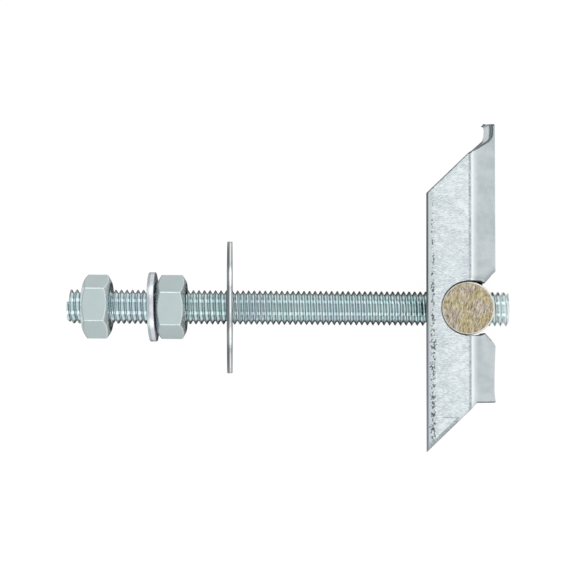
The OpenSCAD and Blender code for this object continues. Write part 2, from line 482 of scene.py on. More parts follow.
@dataclass
class Rod:
    """M8 rod with a rolled right-hand thread over its whole length."""

    bolt: BoltFrame
    crest_d: float = 7.72
    length: float = 100.0
    pitch: float = 1.25
    depth: float = 0.767
    first_crest: float = 1.13
    saw_bevel: float = 0.25
    saw_lean: float = 0.067
    stub: float = 0.72
    stub_d: float = 6.9
    cropped_x: float = 0.95
    cropped_z: float = 1.15
    under_slant: tuple[tuple[float, float], ...] = ((-1, -1.4), (0, -1.9), (0.3, -2.9),
                                                    (1.0, -3.7), (0.6, -5), (-1, -5))
    steps: int = 64
    # painted light at the rod's ends: how far from its end it reaches, over what blend it fades,
    # how much of the thread's painted shade it clears and how bright it is
    end_light_reach: float = 1.5
    blend: float = 3.0
    end_shade_cleared: float = 0.6
    end_light: float = 0.5
    finish: ZincPlate = ZincPlate("rod bright zinc plate", "F1FCFD", "E2F5F5", "E4EFF6",
                                  roughness=0.1, mark_mm=0.3, mark_depth=0.08, dull_and_shade="39484D")

    def ridge(self) -> Points:
        """Returns one pitch of the thread, as places along the rod, radii and how much painted
        shade lies there, on the crests and in the roots, partly for dimmer plate."""
        crest, root = self.crest_d / 2, self.crest_d / 2 - self.depth
        return np.array((
            (-0.11, crest - 0.06, 1), (-0.05, crest, 1), (0.05, crest, 0.45),
            (0.11, crest - 0.06, 0), (0.2, crest - 0.215, 0), (0.4, crest - 0.56, 0),
            (0.485, root + 0.06, 0), (0.56, root, 0.7), (0.69, root, 1),
            (0.765, root + 0.06, 0.3), (0.84, root + 0.187, 0), (1.05, root + 0.55, 0))).T

    def build(self) -> bpy.types.Object:
        """Builds the thread as one long helical strip, saws both ends off and crops
        the nut end."""
        place, radius, dull_and_shade = self.ridge()
        count = (int(self.length / self.pitch) + 4) * self.steps
        angle = 2 * math.pi * np.arange(count + self.steps)[:, None] / self.steps
        start = self.first_crest - 2 * self.pitch
        x = start + self.pitch * angle / (2 * math.pi) + place
        reach = self.length - self.saw_lean * (radius * np.sin(angle) + self.crest_d / 2) - x
        r = np.minimum(radius, self.crest_d / 2 - self.saw_bevel + np.maximum(reach, 0))
        ends = np.where(x < self.stub, 1.0, closeness(reach - self.end_light_reach, self.blend))
        r = np.where(x < self.stub, np.minimum(r, self.stub_d / 2), r)
        points = np.stack((x, r * np.cos(angle), r * np.sin(angle)), axis=-1)
        span = len(place)
        faces = []
        for low in range(0, count * span, span):
            high, turn_on = low + span, low + self.steps * span
            faces += [(low + j, low + j + 1, high + j + 1, high + j) for j in range(span - 1)]
            if high < count * span:
                faces.append((high - 1, turn_on, turn_on + span, high + span - 1))
        rod = mesh_object("threaded_rod_look", points.reshape(-1, 3), faces, self.bolt.at(0))
        # painted shade on the thread's crests and roots, cleared near the ends, and painted light
        # on the ends
        note(rod, "dull_and_shade", (1 - self.end_shade_cleared * ends) * dull_and_shade)
        note(rod, "rub_and_highlight", self.end_light * ends)
        with editing(rod.data) as edit:
            for x_cut, way in ((0.0, -1), (self.length, 1)):
                self.saw(edit, Vector((x_cut, 0, -self.crest_d / 2)) * MM,
                         Vector((way, 0, self.saw_lean)).normalized())
            bmesh.ops.recalc_face_normals(edit, faces=edit.faces)
        step = [(-1, self.cropped_z), (self.cropped_x, self.cropped_z),
                (self.cropped_x, 5), (-1, 5)]
        for outline in (step, self.under_slant):
            self.crop(rod, outline)
        shade(rod.data, 50)
        return rod

    @staticmethod
    def saw(edit: bmesh.types.BMesh, corner: Vector, out: Vector) -> None:
        """Saws the rod through and closes the cut.

        Args:
            edit: the rod's mesh.
            corner: a point of the saw's plane.
            out: the way that the plane faces, away from the rod.
        """
        bmesh.ops.bisect_plane(edit, geom=[*edit.verts, *edit.edges, *edit.faces],
                               plane_co=corner, plane_no=out, clear_outer=True)
        rim = [e for e in edit.edges if e.is_boundary
               and all(abs((v.co - corner).dot(out)) < 1e-7 for v in e.verts)]
        bmesh.ops.contextual_create(edit, geom=rim)

    def crop(self, rod: bpy.types.Object, outline: Sequence[tuple[float, float]]) -> None:
        """Takes a prism out of the rod, as its cropping did.

        Args:
            rod: the rod.
            outline: the prism's corners along the rod and up.
        """
        count = len(outline)
        points = [(x, y, z) for z in (-5, 5) for x, y in outline]
        faces = [tuple(range(count))[::-1], tuple(range(count, 2 * count))]
        faces += [(i, (i + 1) % count, (i + 1) % count + count, i + count)
                  for i in range(count)]
        carve(rod, mesh_object("crop", np.array(points), faces, self.bolt.at(0)))

    def dress(self) -> None:
        """Builds and dresses the rod."""
        dress(self.build(), Slot.ROD, "rod", "threaded_rod", self.finish)


# ---------------------------------------------------------------- nuts


@dataclass
class HexNut:
    """M8 hexagon nut, pressed from bar, with a turned bevel on both ends."""

    bolt: BoltFrame
    node: str
    x: float
    turn: float
    height: float
    across_flats: float = 12.66
    corner_r: float = 0.4
    face_d: float = 11.4
    bevel_angle: float = 30.0
    bore_d: float = 7.9
    sink: float = 0.5
    # the profile's points where a bevel meets the nut's end, and where one meets the flats
    end_rim: range = range(10, 14)
    flats_rim: range = range(16, 20)
    # painted shade on the first rim, and painted highlight on the second rim and along the
    # corners between the flats, reaching this far round a corner
    end_rim_shade: float = 0.6
    rim_highlight: float = 0.5
    highlight_reach: float = 0.05
    bevel_normals: tuple[float, float] = (0.3, 0.999)
    finish: ZincPlate = ZincPlate("nut bright zinc plate", "C0CFCF", "BACACA", "C2CBCE",
                                  roughness=0.27, cloud_mm=3.5, mark_mm=0.35,
                                  mark_stretch=(0.25, 1.0, 1.0), mark_depth=0.06,
                                  dull_and_shade="7F8F90")
    # the turned bevels' own finish; its near-white colour also stands in for light that the
    # bevels catch
    turned_finish: ZincPlate = ZincPlate("nut turned bevel zinc plate", "EDF4F3", "C2CECC",
                                         "E4E6EE", roughness=0.52, cloud_mm=0.9, mark_mm=0.3,
                                         mark_depth=0.3)

    def outline(self) -> Path:
        """Returns the hexagon's outline, first flat towards Z."""
        half = self.across_flats / 2
        corner = (half - self.corner_r) / math.cos(math.radians(30))
        width = (half - self.corner_r) * math.tan(math.radians(30))
        points = []
        for side in range(0, 360, 60):
            out, along, centre = [self.spoke(side + more) for more in (0, 90, 30)]
            points += [tuple(out * half + along * width * t)
                       for t in np.sin(np.linspace(-math.pi / 2, math.pi / 2, 15))]
            points += [tuple(corner * centre + self.corner_r * self.spoke(turn))
                       for turn in np.linspace(side, side + 60, 7)[1:-1]]
        return points

    @staticmethod
    def spoke(degrees: float) -> Points:
        """Returns a way round the nut's axis from Z."""
        return np.array((math.sin(math.radians(degrees)), math.cos(math.radians(degrees))))

    def profile(self, reach: float) -> Path:
        """Returns the nut's profile from bore to bore in one direction.

        Args:
            reach: how far from its axis the nut's outline lies there.
        Returns:
            Places along the axis and radii.
        """
        fall = (reach - self.face_d / 2) * math.tan(math.radians(self.bevel_angle))
        half = [(self.sink, self.bore_d / 2, 0), (0, self.bore_d / 2 + self.sink, 0.12),
                (0, self.face_d / 2, 0.25), (fall * 0.6, self.face_d * 0.2 + reach * 0.6, 0),
                (fall, reach, 0.22), (fall + 0.3, reach, 0)]
        return rounded([*half, *((self.height - x, r, cut) for x, r, cut in reversed(half))])

    def build(self) -> bpy.types.Object:
        """Builds the nut as a ring of profiles; its turned bevels take the second finish."""
        columns, rub_and_highlight, dull_and_shade = [], [], []
        flat_end = (self.across_flats / 2 - self.corner_r) * math.tan(math.radians(30))
        for y, z in self.outline():
            reach = math.hypot(y, z)
            profile = self.profile(reach)
            columns.append([(x, r * y / reach, r * z / reach) for x, r in profile])
            corner = reach > math.hypot(self.across_flats / 2, flat_end + self.highlight_reach)
            # painted shade on the first rim; painted highlight on the second rim and along the
            # corners
            dull_and_shade.append([self.end_rim_shade * (i in self.end_rim) for i in range(len(profile))])
            rub_and_highlight.append([self.rim_highlight * (i in self.flats_rim
                                           or corner and abs(r - reach) < self.highlight_reach)
                           for i, (_, r) in enumerate(profile)])
        points = np.array(columns)
        nut = mesh_object(self.node + "_look", points.reshape(-1, 3), quads(*points.shape[:2]),
                          self.bolt.at(self.x, turned(self.turn, Axis.X)), 34)
        note(nut, "rub_and_highlight", np.array(rub_and_highlight))
        note(nut, "dull_and_shade", np.array(dull_and_shade))
        low, high = self.bevel_normals
        for polygon in nut.data.polygons:
            polygon.material_index = int(low < abs(polygon.normal.x) < high)
        return nut

    def dress(self) -> None:
        """Builds and dresses the nut."""
        dress(self.build(), Slot.NUT, self.node, self.node, self.finish, self.turned_finish)


# ---------------------------------------------------------------- washers


@dataclass
class Washer:
    """Stamped washer: its rim is rounded on the punch side and square on the other. A painted
    highlight lies across its middle and painted shade on the punch side and, where set, at the
    back; partly they are the bright band where the punch slid and the dim one where the sheet
    tore."""

    bolt: BoltFrame
    node: str
    x: float
    lean: Matrix
    diameter: float
    thickness: float
    finish: ZincPlate
    bore_d: float = 8.24
    punch_round: float = 0.3
    back_round: float = 0.12
    # painted shade across the rim: where it ends on the punch side, where it starts towards the
    # back and how dark it gets there
    punch_shade_to: float = -0.05
    back_shade_from: float = 9.0
    shade_change: float = 0.6
    blend: float = 1 / 6
    rim_band: float = 0.35
    steps: int = 160

    def build(self) -> bpy.types.Object:
        """Turns the washer's profile."""
        half, rim, bore = self.thickness / 2, self.diameter / 2, self.bore_d / 2
        edge = [(half * t, rim, 0.0) for t in (0.6, 0.45, 0.25, 0.1, -0.05, -0.2, -0.4)]
        profile = rounded([(0, bore, 0), (half, bore, 0.1), (half, rim, self.back_round), *edge,
                           (-half, rim, self.punch_round), (-half, bore, 0.15), (0, bore, 0)],
                          5)[:-1]
        washer = lathe(self.node + "_look", profile, self.bolt.at(self.x, self.lean),
                       self.steps, sharp=50)
        x, r = np.array(profile).T
        on_rim, part, ring = r > rim - self.rim_band, x / half, np.ones(self.steps)
        # painted shade on the rim's punch side and back, painted highlight between them, partly
        # the rim's sheared bands
        torn_and_edge_shade = np.clip((self.punch_shade_to - part) / self.blend, 0, 1)
        shade_change = np.clip((part - self.back_shade_from) / self.blend, 0, self.shade_change)
        note(washer, "rub_and_highlight", np.outer(on_rim * (1 - torn_and_edge_shade) * (1 - shade_change), ring))
        note(washer, "dull_and_shade", np.outer(on_rim * (torn_and_edge_shade + shade_change), ring))
        return washer

    def dress(self) -> None:
        """Builds and dresses the washer."""
        dress(self.build(), Slot.WASHER, self.node, self.node, self.finish)


# ---------------------------------------------------------------- barrel nut


@dataclass(frozen=True)
class SawnPassivate(Finish):
    """Yellow-passivated zinc over a sawn steel face: the film turns from olive to mauve in
    blotches, saw marks cross the face from edge to edge, and its rim is pale from rubbing."""

    name: str = "yellow passivated sawn steel"
    gold: str = "BCAE84"
    olive: str = "A09878"
    mauve: str = "B9ABA6"
    pale: str = "DEDAC6"
    dark: str = "6E634C"
    rim: str = "F2F0E2"
    mark_mm: float = 0.25
    mark_angle: float = -13.0
    blots_per_mm: float = 0.42
    spots_per_mm: float = 2.4

    def surface(self, add: Adder, mm: Socket) -> dict[str, Any]:
        """Draws the blotches, then the saw marks and the rubbed rim, as Finish asks."""
        along = add("Mapping", {"Vector": mm, "Scale": (1.0, 4.0, 3.0),
                                "Rotation": (0, 0, math.radians(self.mark_angle))},
                    vector_type="TEXTURE")
        marks = add("TexNoise", {"Vector": along, "Scale": 1 / self.mark_mm, "Detail": 5.0,
                                 "Roughness": 0.6})
        blots, spots = [add("TexNoise", {"Vector": mm, "Scale": each, "Detail": 4.0})
                        for each in (self.blots_per_mm, self.spots_per_mm)]
        reach = add("VectorMath", (mm, (1.0, 1.0, 0.0)), operation="MULTIPLY")
        reach = add("VectorMath", (reach,), "Value", operation="LENGTH")
        height = off(add, add("SeparateXYZ", (mm,), "Z"), 0.0)
        colour = layered(add, self.gold, (self.mauve, (blots, 0.42, 0.58)),
                         (self.olive, (spots, 0.47, 0.58, 0, 0.9)),
                         (self.dark, (marks, 0.54, 0.64, 0, 0.9)),
                         (self.pale, (marks, 0.46, 0.38, 0, 0.75)),
                         (self.rim, (reach, 5.5, 5.65), (height, 5.8, 6.1, 0, 0.9)))
        return {"Base Color": colour, "Metallic": 0.8, "Roughness": 0.42,
                **self.bumped(add, marks, 0.25)}


@dataclass
class BarrelNut:
    """Round cross nut that the rod screws through, sawn from bar."""

    bolt: BoltFrame
    diameter: float = 11.85
    length: float = 12.9
    bevel: float = 0.35
    bore_d: float = 7.9
    finish: SawnPassivate = SawnPassivate()

    def build(self) -> bpy.types.Object:
        """Turns the barrel and bores it."""
        half, r, bore = self.length / 2, self.diameter / 2, self.bore_d / 2
        placed = self.bolt.at(self.bolt.barrel_x)
        inner = [r * t for t in (0, 0.02, 0.3, 0.6, 0.85)]
        corner = rounded([(half, r * 0.85, 0), (half, r, self.bevel), (0, r, 0)], 5)[1:-1]
        profile = [*((half, t) for t in inner), *corner,
                   *((half * t, r) for t in (0.75, 0.5, 0.25, 0, -0.25, -0.5, -0.75)),
                   *((-x, t) for x, t in reversed(corner)),
                   *((-half, t) for t in reversed(inner))]
        barrel = lathe("barrel_nut_look", profile, placed, axis=Axis.Z)
        cutter = lathe("bore", [(-8, 0), (-8, bore), (8, bore), (8, 0)], placed, 64)
        for turning in (barrel, cutter):
            weld(turning)
        carve(barrel, cutter)
        shade(barrel.data, 35)
        return barrel

    def dress(self) -> None:
        """Builds and dresses the barrel nut."""
        dress(self.build(), Slot.BARREL, "barrel", "barrel_nut", self.finish)


# ---------------------------------------------------------------- wing


@dataclass(frozen=True)
class Galvanised(Finish):
    """Pre-galvanised sheet: a pale grey-blue zinc coat. Pressing has scratched it across the
    walls, scuffed it beside the short arm's slanting cut, and broken it into dark specks along
    the fold lines. Painted shade lies on the side towards the open edge, on the outer part of the
    band rolled down along it, along the cut edges, on the line where the bend starts and over the
    inner faces round the barrel nut; a painted highlight lies on the bend."""

    name: str = "pre-galvanised sheet"
    colour: str = "D5DEE0"
    # the clouds' cooler tone, also painted shade on the side towards the open edge
    cool_tone_and_shade: str = "C4CED2"
    scratch: str = "F0F5F7"
    fine_dark: str = "A9B5BA"
    # painted shade on the outer part of the open edge's rolled band, lighter on the short arm;
    # the first colour also draws a scratch across the short arm's cut
    edge_shade_and_scratch: str = "727D80"
    edge_shade_low: str = "989BA4"
    strip_light: str = "C9D2D0"
    lilac: str = "C9CAD8"
    speck: str = "3E4A4E"
    # painted shade on the line where the bend starts, and a painted highlight on the bend
    fold: str = "9AA3A8"
    burnished: str = "F6FBFC"
    rolled: str = "B0B8BB"
    scuff: str = "98A2A5"
    # painted shade: a dark line along the cut edges
    edge: str = "465154"
    # black painted shade over the inner faces round the barrel nut
    barrel_shade: str = "0A0D0F"
    roughness: float = 0.36
    fold_x: float = 0.25
    scratch_y: float = -24.1

    def specks(self, add: Adder, across: Socket, along: Socket, grains: Socket) -> Socket:
        """Returns where the coat breaks into specks along the open edge: single ones on the
        long arm, thick ones on the short arm.

        Args:
            add: adds a node to the finish.
            across: place across the wing, in millimetres.
            along: place along it.
            grains: the noise whose grains are the specks.
        Returns:
            A level that is high in a speck.
        """
        thin = overlap(add, (off(add, across, -8.0), 0.8, 0), (along, 25.0, 7.0, 0.48, 0.9))
        thick = overlap(add, (off(add, across, -7.95), 1.25, 0), (along, 4.0, -6.0))
        amount = add("Math", (thick, 0.75), operation="MINIMUM")
        amount = add("Math", (amount, thin), operation="MAXIMUM")
        return add("Math", (amount, 0.3, grains), operation="MULTIPLY_ADD")

    def surface(self, add: Adder, mm: Socket) -> dict[str, Any]:
        """Draws the coat, then what each tool and edge did to it and the painted shade and
        highlight, as Finish asks.
        """
        across, along = [add("SeparateXYZ", (mm,), axis) for axis in "XY"]
        clouds = grain(add, mm, (0.22, 0.22, 0.22), 4.0)
        patches = grain(add, mm, (0.5, 0.8, 0.5), 3.0)
        streaks = grain(add, mm, (1.3, 5.6, 1.5), 4.0)
        grains = grain(add, mm, (2.7, 2.2, 2.7), 2.5)
        gap, notch, torn_and_edge_shade, barrel_shaded = [add("Attribute", (), "Fac", attribute_name=name)
                                   for name in ("lower_gap", "notch", "torn_and_edge_shade", "barrel_shaded")]
        wall, short_arm = (across, 0.35, 0.05), (along, 4.0, -6.0)
        specks = self.specks(add, across, along, grains)
        from_fold = off(add, across, self.fold_x)
        broken = add("MapRange", (from_fold, 0.5, 0, 0, 0.3))
        broken = add("Math", (broken, grains), operation="ADD")
        torn_and_edge_shade = add("Math", (grains, 0.5, torn_and_edge_shade), operation="MULTIPLY_ADD")
        # the short arm's outer part takes less of the painted shade along the cut edges
        shade_change = overlap(add, short_arm, (across, -5.0, -6.0, 0, 0.6))
        kept = add("Math", (1.0, shade_change), operation="SUBTRACT")
        colour = layered(
            add, self.colour,
            # clouds, painted shade on the side towards the open edge, and the walls' pressing
            # marks
            (self.cool_tone_and_shade, (clouds, 0.4, 0.6)), (self.cool_tone_and_shade, (across, -3.5, -7.0, 0, 0.75)),
            (self.scratch, (patches, 0.5, 0.62, 0, 0.5), wall),
            (self.scratch, (streaks, 0.54, 0.59, 0, 0.75), wall),
            (self.fine_dark, (streaks, 0.44, 0.39, 0, 0.5), wall),
            (self.scratch, (grains, 0.62, 0.7, 0, 0.5)),
            # the band rolled down along the open edge, painted shade on its outer part, and the
            # specks beside it
            (self.strip_light, (across, -8.05, -8.3, 0, 0.8)),
            (self.lilac, (across, -8.5, -8.75, 0, 0.9), short_arm),
            (self.edge_shade_and_scratch, (across, -8.86, -9.0, 0, 0.9)),
            (self.edge_shade_low, (across, -8.86, -9.0, 0, 0.9), short_arm),
            (self.speck, (specks, 0.72, 0.79, 0, 0.9)),
            # painted highlight on the bend's band, and painted shade on the line where the bend
            # starts
            (self.burnished, (across, 0.3, 0.6), (across, 2.1, 0.7, 0, 0.8)),
            (self.fold, (from_fold, 0.46, 0), (grains, 0.2, 0.55)),
            (self.speck, (broken, 0.78, 0.88, 0, 0.35)),
            # the scuffed outer part of the short arm's slanting cut, and a scratch across it
            (self.scuff, (gap, 0.9, 0.78, 0, 0.9), (across, -2.1, -2.6), (grains, 0.2, 0.55)),
            (self.edge_shade_and_scratch, (off(add, along, self.scratch_y), 0.14, 0),
             (across, -2.0, -2.6, 0, 0.8), (across, -6.2, -5.6)),
            # the shaded roll that the window's punch left
            (self.rolled, (notch, 0, 0.45, 0, 0.85), (across, 0.2, 1.6)),
            # painted shade: a dark line along the cut edges, and black over the inner faces round
            # the barrel nut
            (self.edge, (torn_and_edge_shade, 0.45, 0.8, 0, 0.9), kept), (self.barrel_shade, barrel_shaded))
        return {"Base Color": colour, "Metallic": 0.9, "Roughness": self.roughness,
                **self.bumped(add, streaks, 0.12)}


@dataclass(frozen=True)
class ShearedEdge(Finish):
    """Bare steel where the sheet was sheared: a shiny cut band towards the outer face, then a
    dark band where the sheet tore, then the pale burr on the inner face."""

    name: str = "sheared steel edge"
    cut: str = "9BA3A8"
    torn_and_edge_shade: str = "566064"
    burr: str = "BFC7CB"

    def surface(self, add: Adder, mm: Socket) -> dict[str, Any]:
        """Draws the three bands, ragged where they meet, as Finish asks."""
        rough = add("TexNoise", {"Vector": mm, "Scale": 3.0, "Detail": 4.0})
        depth = add("Attribute", (), "Fac", attribute_name="depth")
        depth = add("Math", (rough, 0.2, depth), operation="MULTIPLY_ADD")
        colour = layered(add, self.cut, (self.torn_and_edge_shade, (depth, 0.3, 0.42)),
                         (self.burr, (depth, 0.82, 1.0)))
        return {"Base Color": colour, "Metallic": 1.0, "Roughness": 0.45,
                **self.bumped(add, rough, 0.3)}


class Edge(Enum):
    """The wing's edges, each with the width and depth of the roll that shearing gave it and
    the width of the line of painted shade along it."""

    OPEN = (1.3, 0.25, 0.3)
    UPPER = (0.35, 0.12, 0.3)
    LOWER = (0.85, 0.3, 0.12)
    LIP = (0.45, 0.16, 0.6)
    SEAT = (0.35, 0.1, 0.2)
    NOTCH = (1.3, 0.45, 0.25)
    MOUTH = (0.5, 0.15, 0.25)
    SLOT = (0.3, 0.1, 0.15)
    WEB_END = (0.32, 0.1, 0.45)


# corners on the flat sheet, each with the edge that follows it
Cut = list[tuple[float, float, Edge]]


@dataclass
class ChannelWing:
    """One folded sheet: two walls with a soft bend, sloping to the web, a hooked lip at the long
    arm's end, a round seat for the barrel nut in each wall and a window through the web.

    The sheet is cut flat in two coordinates, s across the fold and v along the wing, and then
    bent along s."""

    bolt: BoltFrame
    sheet: float = 1.4
    wall_z: float = 7.2
    wall_reach: float = 9.3
    far_wall_short: float = 1.4
    web_reach: float = 6.3
    bend_reach: float = 0.4
    bend_r: float = 4.0
    bend_angle: float = 19.0
    corner_r: float = 1.8
    cut_angle: float = 44.0
    upper_reach: float = 25.55
    shoulder_x: float = 0.0
    throat_reach: float = 4.97
    near_lip: tuple[float, ...] = (5.5, 2.8, 0.0, 5.8, 15.8)
    far_lip: tuple[float, ...] = (5.9, 3.3, 1.6, 1.2, 87.0)
    far_lip_back: float = 0.28
    lip_len: float = 6.55
    lip_skew: float = 1.82
    lip_thin: float = 0.3
    lower_reach: float = 20.9
    lower_start: float = 2.0
    lower_corner_x: float = 1.9
    seat_r: float = 6.0
    near_mouth: tuple[tuple[float, float], ...] = ((0, 6.0), (2.2, 6.0), (3.1, 5.85),
                                                   (3.75, 5.5))
    far_mouth: tuple[tuple[float, float], ...] = ((0, 6.0), (2.2, 6.0), (4.0, 5.8),
                                                  (4.75, 5.45))
    window_len: float = 16.3
    swing_r: float = 4.5
    swing_reach: float = 11.43
    web_dip: float = 0.32
    look_turn: float = 0.2
    look_shift: float = 0.08
    # how deep and wide each cut edge is drawn down outside and burred inside
    draw: tuple[float, float] = (0.12, 0.14)
    burr: tuple[float, float] = (0.1, 0.12)
    lip_taper: float = 1.5
    # the width of the painted shade on the inner face by the lip
    lip_shade_width: float = 0.75
    notch_roll: float = 1.2
    # reach and blend of the black painted shade over the inner faces round the barrel nut
    barrel_shade_r: float = 8.0
    barrel_shade_blend: float = 1.5
    side_rows: tuple[float, ...] = (0.35, 0.7)
    # how finely the sheet is meshed: along its edges, in rings beside them and between those
    rim_step: float = 0.42
    rings: tuple[float, ...] = (0.1, 0.22, 0.4, 0.65, 0.95)
    strip_lines: tuple[float, ...] = (0.3, 0.65, 1.0, 1.15, 1.3, 1.45)
    bend_steps: tuple[int, ...] = (5, 4, 8, 4)
    grid: float = 1.1
    grid_gap: float = 1.05
    finest: float = 0.12

    def __post_init__(self) -> None:
        """Works out the section's path and the ends of the wing."""
        self.cut_slope = math.tan(math.radians(self.cut_angle))
        self.shoulder_y = self.upper_reach + (self.wall_reach + self.shoulder_x) * self.cut_slope
        self.lip_y = self.shoulder_y + self.lip_len
        self.tip_y = -self.lower_reach - (self.wall_reach + self.lower_corner_x) * self.cut_slope
        self.slope = slope = math.radians(self.bend_angle)
        self.corner_x = self.web_reach - self.corner_r
        rise = (self.corner_x - self.bend_reach) * math.sin(slope)
        self.bend_z = self.wall_z - self.bend_r
        self.corner_z = self.bend_z + (self.bend_r - self.corner_r - rise) / math.cos(slope)
        self.flank_start = (self.bend_reach + self.bend_r * math.sin(slope),
                            self.bend_z + self.bend_r * math.cos(slope))
        flank_end = (self.corner_x + self.corner_r * math.sin(slope),
                     self.corner_z + self.corner_r * math.cos(slope))
        self.runs = [self.wall_reach + self.bend_reach, self.bend_r * slope,
                     math.dist(self.flank_start, flank_end),
                     self.corner_r * (math.pi / 2 - slope), self.corner_z]
        self.half = sum(self.runs)
        self.full = 2 * self.half

    # --- the fold

    def fold(self, s: Points) -> tuple[Points, Points, Points]:
        """Returns place and slope across the section.

        Args:
            s: distance from the near wall's open edge along the outer face.
        Returns:
            Distance from the barrel's axis along the rod, distance towards the near side, and
            the outer face's turn from the wall's, in radians.
        """
        side = np.where(s <= self.half, 1.0, -1.0)
        t = np.where(s <= self.half, s, self.full - s)
        ends = np.cumsum(self.runs)
        bend, past = (t - ends[0]) / self.bend_r, t - ends[1]
        corner = self.slope + (t - ends[2]) / self.corner_r
        u, z, turn = t - self.wall_reach, np.full_like(t, self.wall_z), np.zeros_like(t)
        for end, *there in (
                (ends[0], self.bend_reach + self.bend_r * np.sin(bend),
                 self.bend_z + self.bend_r * np.cos(bend), bend),
                (ends[1], self.flank_start[0] + past * math.cos(self.slope),
                 self.flank_start[1] - past * math.sin(self.slope), self.slope),
                (ends[2], self.corner_x + self.corner_r * np.sin(corner),
                 self.corner_z + self.corner_r * np.cos(corner), corner),
                (ends[3], self.web_reach, self.half - t, math.pi / 2)):
            u, z, turn = [np.where(t > end, new, old) for new, old in zip(there, (u, z, turn))]
        return u, z * side, turn * side

    def unfold(self, u: float) -> float:
        """Returns the distance s on the near side where the section lies at u."""
        grid = np.linspace(0, sum(self.runs[:4]), 4000)
        return float(np.interp(u, self.fold(grid)[0], grid))

    # --- the cut outline

    def side_path(self, lip_x: float, throat_r: float, throat_rise: float, hook_r: float,
                  hook_turn: float) -> Path:
        """Returns one wall's outline from its open edge up to its lip.

        Args:
            lip_x: how far across the lip's edge stands.
            throat_r: radius of the round throat below the lip.
            throat_rise: how much higher the throat lies than the near wall's.
            hook_r: radius of the lip's hook.
            hook_turn: how far round the hook goes, in degrees.
        Returns:
            Places across and along the wing.
        """
        shoulder = (self.shoulder_x, self.shoulder_y)
        throat = (lip_x - throat_r, self.shoulder_y + self.throat_reach + throat_rise)
        over, up = throat[0] - shoulder[0], throat[1] - shoulder[1]
        slope = math.degrees(math.atan2(up, over) - math.asin(throat_r / math.hypot(over, up)))
        round_cut = arc(throat, throat_r, slope - 90, 0, 10)
        return [(-self.wall_reach, self.upper_reach), shoulder,
                *straight(shoulder, round_cut[0], 7)[1:], *round_cut[1:],
                *arc((lip_x - hook_r, throat[1]), hook_r, 0, hook_turn, 6)[1:]]

    def outline(self) -> Cut:
        """Returns the flat sheet's outer outline, each corner with the edge that follows it."""
        near, far = self.side_path(*self.near_lip), self.side_path(*self.far_lip)
        far.append((self.far_lip[0] - self.far_lip_back, self.lip_y + self.lip_skew))
        far_edge, far_rise = self.full - self.far_wall_short, self.far_wall_short * self.cut_slope
        low = straight((self.lower_start - self.wall_reach,
                        self.tip_y + self.lower_start * self.cut_slope),
                       (self.lower_corner_x, -self.lower_reach), 24)
        return [
            (0.0, self.tip_y, Edge.OPEN),
            *((self.unfold(u), v, Edge.LIP if i else Edge.UPPER)
              for i, (u, v) in enumerate(near)),
            *((self.full - self.unfold(u), v, Edge.LIP) for u, v in reversed(far[2:])),
            (self.full - self.unfold(far[1][0]), far[1][1], Edge.UPPER),
            (far_edge, self.upper_reach + far_rise, Edge.OPEN),
            (far_edge, self.tip_y + far_rise, Edge.LOWER),
            *((self.full - self.unfold(u), v, Edge.LOWER) for u, v in low[:-1]),
            (self.full - self.unfold(self.lower_corner_x), -self.lower_reach, Edge.WEB_END),
            *((self.unfold(u), v, Edge.LOWER) for u, v in reversed(low))]

    def opening(self) -> Cut:
        """Returns the outline of the seats, their mouths, the window and the swing slot."""
        seat = arc((0, 0), self.seat_r, 90, 270, 40)[1:-1]
        slot_v = self.swing_reach - self.swing_r
        reach = math.sqrt(self.swing_r**2 - (self.window_len / 2 - slot_v) ** 2)
        rise = math.acos(reach / self.swing_r)
        near, far = self.mouth(self.near_mouth), self.mouth(self.far_mouth)
        path = [(s, v, Edge.NOTCH) for s, v in near]
        path += [(self.half - self.swing_r * math.cos(a), slot_v + self.swing_r * math.sin(a),
                  Edge.SLOT) for a in np.linspace(rise, math.pi - rise, 14)]
        path += [(self.full - s, v, Edge.MOUTH) for s, v in reversed(far)]
        path += [(self.full - self.unfold(u), v, Edge.SEAT) for u, v in seat]
        path += [(self.full - s, -v, Edge.MOUTH) for s, v in far]
        path += [(s, -v, Edge.MOUTH) for s, v in reversed(near[1:])]
        path.append((near[0][0], -near[0][1], Edge.SEAT))
        path += [(self.unfold(u), v, Edge.SEAT) for u, v in reversed(seat)]
        return path

    def mouth(self, corners: Sequence[tuple[float, float]]) -> Path:
        """Returns one side of a seat's mouth on the flat sheet, out to the window's end.

        Args:
            corners: its corners across and along the wing, the last where the flare starts.
        Returns:
            Places on the flat sheet.
        """
        path = [(self.unfold(u), v) for u, v in corners]
        start, level = corners[-1]
        for s in np.linspace(path[-1][0], sum(self.runs[:4]), 12)[1:]:
            part = (self.fold(np.array([s]))[0][0] - start) / (self.web_reach - start)
            path.append((float(s), float(level + (self.window_len / 2 - level) * part)))
        return path

    @staticmethod
    def divide(path: Cut, step: float) -> tuple[Points, list[Edge]]:
        """Splits a closed outline into short lengths.

        Args:
            path: corners with the edge that follows each.
            step: longest length left.
        Returns:
            The points and the edge that follows each.
        """
        points, edges = [], []
        for i, (s, v, edge) in enumerate(path):
            on = path[(i + 1) % len(path)]
            count = max(1, math.ceil(math.dist((s, v), on[:2]) / step))
            for t in np.arange(count) / count:
                points.append((s + (on[0] - s) * t, v + (on[1] - v) * t))
                edges.append(edge)
        return np.array(points), edges

    # --- the flat mesh

    @staticmethod
    def inside(points: Points, loop: Points) -> Points:
        """Tells which points lie inside a closed loop.

        Args:
            points: one row each.
            loop: the loop's points.
        Returns:
            True for each point inside.
        """
        s, v = points[:, 0][:, None], points[:, 1][:, None]
        (s0, v0), (s1, v1) = loop.T, np.roll(loop, -1, axis=0).T
        rise = np.where(v1 == v0, 1e-12, v1 - v0)
        crossed = ((v0 > v) != (v1 > v)) & (s < (s1 - s0) * (v - v0) / rise + s0)
        return crossed.sum(axis=1) % 2 == 1

